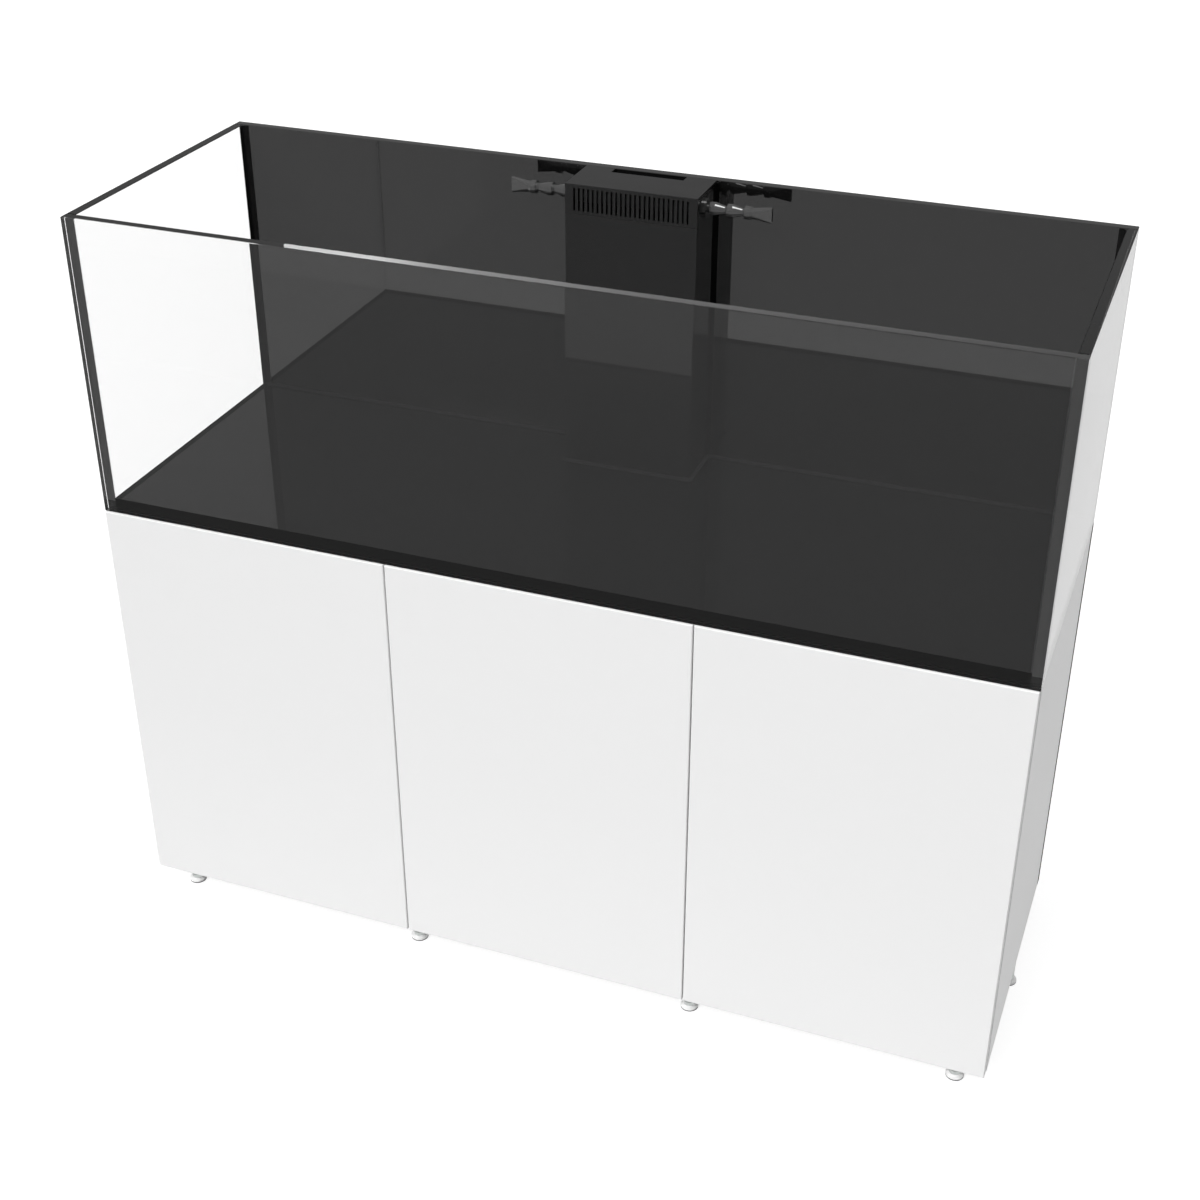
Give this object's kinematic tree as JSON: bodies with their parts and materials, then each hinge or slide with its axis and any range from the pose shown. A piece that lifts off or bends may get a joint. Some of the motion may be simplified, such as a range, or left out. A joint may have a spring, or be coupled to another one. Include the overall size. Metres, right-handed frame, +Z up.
{
  "type": "aquarium on stand",
  "caption": "Long rimless glass aquarium with a rear overflow box and return nozzles, on a white handleless cabinet stand with sump, return pump and levelling feet.",
  "frame": {"origin": "on the floor, at the middle of the footprint", "axes": "+X to the right along the length, +Y from the doors to the back, +Z up"},
  "size_m": [1.811, 0.629, 1.52],
  "materials": {
    "clear_glass": "clear, polished",
    "black_glass": "black, polished",
    "black_silicone": "black, satin",
    "clear_silicone": "clear, satin",
    "black_acrylic": "black, polished",
    "lid_black": "black, satin",
    "nozzle_grey": "dark grey, satin",
    "pipe_grey": "dark grey, smooth",
    "gasket_rubber": "black",
    "valve_red": "red, moulded",
    "sump_glass": "clear, polished edges",
    "pump_black": "black, moulded",
    "white_lacquer": "white gloss lacquer on board",
    "white_board": "white melamine on board",
    "hinge_steel": "nickel plated",
    "latch_grey": "light grey, moulded",
    "foot_white": "white, moulded",
    "socket_brass": "turned"
  },
  "bodies": {
    "stand_and_tank": {"front_glass": "clear_glass", "left_glass": "clear_glass", "right_glass": "clear_glass", "back_glass": "black_glass", "base_glass": "black_glass", "base_seam": "black_silicone", "corner_seams": "clear_silicone", "overflow_plates": "black_acrylic", "return_fittings": "nozzle_grey", "return_tee": "pipe_grey", "overflow_pipes": "pipe_grey", "bulkheads": "pipe_grey", "bulkhead_nuts": "pipe_grey", "drain_pipes": "pipe_grey", "return_pipes": "pipe_grey", "gate_valve_body": "pipe_grey", "bulkhead_gaskets": "gasket_rubber", "sump_panes": "sump_glass", "sump_baffles": "sump_glass", "pump_body": "pump_black", "pump_cover": "pump_black", "left_side": "white_lacquer", "right_side": "white_lacquer", "top_board": "white_board", "bottom_board": "white_board", "dividers": "white_board", "back_panel": "white_board", "top_rails": "white_board", "hinge_arms": "hinge_steel", "latch_bodies": "latch_grey", "foot_sockets": "socket_brass"},
    "left_door": {"left_door": "white_lacquer", "left_hinge_cups": "hinge_steel"},
    "middle_door": {"middle_door": "white_lacquer", "middle_hinge_cups": "hinge_steel"},
    "right_door": {"right_door": "white_lacquer", "right_hinge_cups": "hinge_steel"},
    "left_latch_plunger": {"left_latch_plunger": "latch_grey"},
    "middle_latch_plunger": {"middle_latch_plunger": "latch_grey"},
    "right_latch_plunger": {"right_latch_plunger": "latch_grey"},
    "overflow_lid": {"overflow_lid": "lid_black"},
    "left_hose_inner": {"left_hose_inner": "nozzle_grey"},
    "left_hose_outer": {"left_hose_outer": "nozzle_grey"},
    "left_flare_nozzle": {"left_flare_nozzle": "nozzle_grey"},
    "right_hose_inner": {"right_hose_inner": "nozzle_grey"},
    "right_hose_outer": {"right_hose_outer": "nozzle_grey"},
    "right_flare_nozzle": {"right_flare_nozzle": "nozzle_grey"},
    "valve_wheel": {"gate_valve_wheel": "valve_red"},
    "valve_gate": {"gate_valve_gate": "pipe_grey"},
    "impeller": {"pump_impeller": "pump_black"},
    "foot_front_1": {"foot_front_1": "foot_white"},
    "foot_front_2": {"foot_front_2": "foot_white"},
    "foot_front_3": {"foot_front_3": "foot_white"},
    "foot_front_4": {"foot_front_4": "foot_white"},
    "foot_left": {"foot_left": "foot_white"},
    "foot_right": {"foot_right": "foot_white"},
    "foot_back_1": {"foot_back_1": "foot_white"},
    "foot_back_2": {"foot_back_2": "foot_white"},
    "foot_back_3": {"foot_back_3": "foot_white"},
    "foot_back_4": {"foot_back_4": "foot_white"}
  },
  "joints": [
    {"name": "left_door_swing", "type": "hinge", "parent": "stand_and_tank", "child": "left_door", "pos_m": [-0.89, -0.307, 0.5], "axis": [0, 0, -1], "range_deg": [0, 95]},
    {"name": "middle_door_swing", "type": "hinge", "parent": "stand_and_tank", "child": "middle_door", "pos_m": [-0.2899, -0.307, 0.5], "axis": [0, 0, -1], "range_deg": [0, 95]},
    {"name": "right_door_swing", "type": "hinge", "parent": "stand_and_tank", "child": "right_door", "pos_m": [0.89, -0.307, 0.5], "axis": [0, 0, 1], "range_deg": [0, 95]},
    {"name": "left_latch_push", "type": "slide", "parent": "stand_and_tank", "child": "left_latch_plunger", "axis": [0, 1, 0], "range_m": [0, 0.0025], "stiffness_N_per_m": 300},
    {"name": "middle_latch_push", "type": "slide", "parent": "stand_and_tank", "child": "middle_latch_plunger", "axis": [0, 1, 0], "range_m": [0, 0.0025], "stiffness_N_per_m": 300},
    {"name": "right_latch_push", "type": "slide", "parent": "stand_and_tank", "child": "right_latch_plunger", "axis": [0, 1, 0], "range_m": [0, 0.0025], "stiffness_N_per_m": 300},
    {"name": "lid_lift", "type": "slide", "parent": "stand_and_tank", "child": "overflow_lid", "axis": [0, 0, 1], "range_m": [0, 0.12]},
    {"name": "left_hose_yaw", "type": "hinge", "parent": "stand_and_tank", "child": "left_hose_inner", "pos_m": [-0.144, 0.23, 1.488], "axis": [0, 0, 1], "range_deg": [-15, 15]},
    {"name": "left_hose_pitch", "type": "hinge", "parent": "left_hose_inner", "child": "left_hose_outer", "pos_m": [-0.1775, 0.23, 1.488], "axis": [0, 1, 0], "range_deg": [-15, 15]},
    {"name": "left_nozzle_roll", "type": "hinge", "parent": "left_hose_outer", "child": "left_flare_nozzle", "pos_m": [-0.211, 0.23, 1.488], "axis": [1, 0, 0], "range_deg": [-90, 90]},
    {"name": "right_hose_yaw", "type": "hinge", "parent": "stand_and_tank", "child": "right_hose_inner", "pos_m": [0.144, 0.23, 1.488], "axis": [0, 0, 1], "range_deg": [-15, 15]},
    {"name": "right_hose_pitch", "type": "hinge", "parent": "right_hose_inner", "child": "right_hose_outer", "pos_m": [0.1775, 0.23, 1.488], "axis": [0, 1, 0], "range_deg": [-15, 15]},
    {"name": "right_nozzle_roll", "type": "hinge", "parent": "right_hose_outer", "child": "right_flare_nozzle", "pos_m": [0.211, 0.23, 1.488], "axis": [1, 0, 0], "range_deg": [-90, 90]},
    {"name": "valve_wheel_turn", "type": "hinge", "parent": "stand_and_tank", "child": "valve_wheel", "pos_m": [-0.08, 0.23, 0.62], "axis": [0, 1, 0], "range_deg": [0, 1300]},
    {"name": "valve_gate_slide", "type": "slide", "parent": "stand_and_tank", "child": "valve_gate", "axis": [0, 1, 0], "range_m": [0, 0.028]},
    {"name": "impeller_spin", "type": "hinge", "parent": "stand_and_tank", "child": "impeller", "pos_m": [0.2, 0.208, 0.141], "axis": [1, 0, 0], "continuous": true},
    {"name": "foot_front_1_turn", "type": "hinge", "parent": "stand_and_tank", "child": "foot_front_1", "pos_m": [-0.839, -0.263, 0.03], "axis": [0, 0, 1], "range_deg": [-720, 720]},
    {"name": "foot_front_2_turn", "type": "hinge", "parent": "stand_and_tank", "child": "foot_front_2", "pos_m": [-0.3, -0.263, 0.03], "axis": [0, 0, 1], "range_deg": [-720, 720]},
    {"name": "foot_front_3_turn", "type": "hinge", "parent": "stand_and_tank", "child": "foot_front_3", "pos_m": [0.3, -0.263, 0.03], "axis": [0, 0, 1], "range_deg": [-720, 720]},
    {"name": "foot_front_4_turn", "type": "hinge", "parent": "stand_and_tank", "child": "foot_front_4", "pos_m": [0.839, -0.263, 0.03], "axis": [0, 0, 1], "range_deg": [-720, 720]},
    {"name": "foot_left_turn", "type": "hinge", "parent": "stand_and_tank", "child": "foot_left", "pos_m": [-0.8875, 0.038, 0.03], "axis": [0, 0, 1], "range_deg": [-720, 720]},
    {"name": "foot_right_turn", "type": "hinge", "parent": "stand_and_tank", "child": "foot_right", "pos_m": [0.8875, 0.038, 0.03], "axis": [0, 0, 1], "range_deg": [-720, 720]},
    {"name": "foot_back_1_turn", "type": "hinge", "parent": "stand_and_tank", "child": "foot_back_1", "pos_m": [-0.839, 0.263, 0.03], "axis": [0, 0, 1], "range_deg": [-720, 720]},
    {"name": "foot_back_2_turn", "type": "hinge", "parent": "stand_and_tank", "child": "foot_back_2", "pos_m": [-0.3, 0.263, 0.03], "axis": [0, 0, 1], "range_deg": [-720, 720]},
    {"name": "foot_back_3_turn", "type": "hinge", "parent": "stand_and_tank", "child": "foot_back_3", "pos_m": [0.3, 0.263, 0.03], "axis": [0, 0, 1], "range_deg": [-720, 720]},
    {"name": "foot_back_4_turn", "type": "hinge", "parent": "stand_and_tank", "child": "foot_back_4", "pos_m": [0.839, 0.263, 0.03], "axis": [0, 0, 1], "range_deg": [-720, 720]}
  ],
  "couplings": [
    {"joint": "valve_wheel_turn", "follows": "valve_gate_slide", "rad_per_m": 810}
  ]
}
